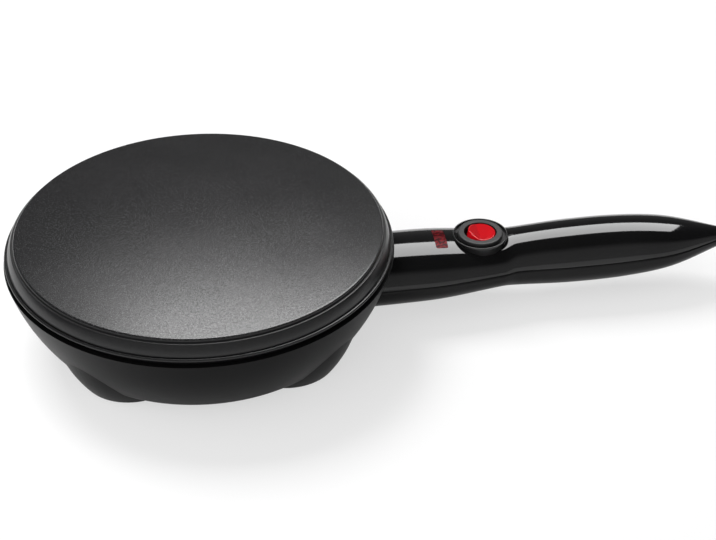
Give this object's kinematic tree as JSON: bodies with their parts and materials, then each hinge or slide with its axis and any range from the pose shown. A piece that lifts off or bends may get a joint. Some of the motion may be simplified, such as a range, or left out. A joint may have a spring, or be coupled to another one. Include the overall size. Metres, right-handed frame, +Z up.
{
  "type": "electric crepe maker",
  "caption": "Table-top dip crepe maker with a domed non-stick plate on a footed bowl, and a hollow handle with a rocker switch and an indicator window.",
  "frame": {"origin": "centre of the bounding box's base, on the table", "axes": "+X along the handle towards its tip, +Y across to the left of someone holding it, +Z up out of the cooking plate"},
  "size_m": [0.3828, 0.2008, 0.064],
  "materials": {
    "plate_coating": "charcoal non-stick coating with a fine fleck on cast aluminium",
    "collar_metal": "satin black paint",
    "black_shell": "satin black moulding",
    "gloss_shell": "gloss black moulding",
    "pad_rubber": "matte black rubber",
    "bezel_plastic": "matte dark grey moulding",
    "rocker_red": "glossy translucent red",
    "lens_red": "glossy translucent dark red",
    "inner_plastic": "natural white moulding",
    "spring_steel": "bright wire",
    "contact_brass": "plain brass",
    "lamp_glass": "clear glass",
    "bush_rubber": "matte black rubber",
    "screw_steel": "plated steel",
    "element_steel": "heat-tinted steel tube",
    "sheet_aluminium": "mill finish sheet",
    "thermostat_body": "brown moulding",
    "sheet_steel": "plain sheet",
    "fuse_metal": "plain can",
    "wire_brown": "brown insulation",
    "wire_blue": "blue insulation"
  },
  "bodies": {
    "body": {"baking_plate": "plate_coating", "collar_ring": "collar_metal", "base_shell": "black_shell", "foot_pads": "pad_rubber", "handle_upper_shell": "gloss_shell", "handle_lower_shell": "gloss_shell", "switch_housing": "bezel_plastic", "switch_terminals": "contact_brass", "lamp_lens": "lens_red", "lamp_holder": "inner_plastic", "neon_lamp": "lamp_glass", "cord_bush": "bush_rubber", "clamp_screws": "screw_steel", "handle_screws": "screw_steel", "handle_root_screws": "screw_steel", "heating_element": "element_steel", "element_terminals": "screw_steel", "heat_shield": "sheet_aluminium", "thermostat": "thermostat_body", "thermostat_bracket": "sheet_steel", "bracket_screws": "screw_steel", "thermal_fuse": "fuse_metal", "fuse_clip": "sheet_steel", "terminal_block": "inner_plastic", "live_wire": "wire_brown", "switched_wire": "wire_brown", "neutral_wire": "wire_blue"},
    "rocker": {"rocker_button": "rocker_red", "rocker_plunger": "inner_plastic", "plunger_spring": "spring_steel"},
    "lever": {"contact_lever": "contact_brass"}
  },
  "joints": [
    {"name": "rocker_pivot", "type": "hinge", "parent": "body", "child": "rocker", "pos_m": [0.05675, 0, 0.0382], "axis": [0, -1, 0], "range_deg": [0, 20]},
    {"name": "lever_pivot", "type": "hinge", "parent": "body", "child": "lever", "pos_m": [0.05675, 0, 0.0293], "axis": [0, -1, 0], "range_deg": [-12, 0]}
  ],
  "couplings": [
    {"joint": "lever_pivot", "follows": "rocker_pivot", "ratio": -0.6}
  ]
}
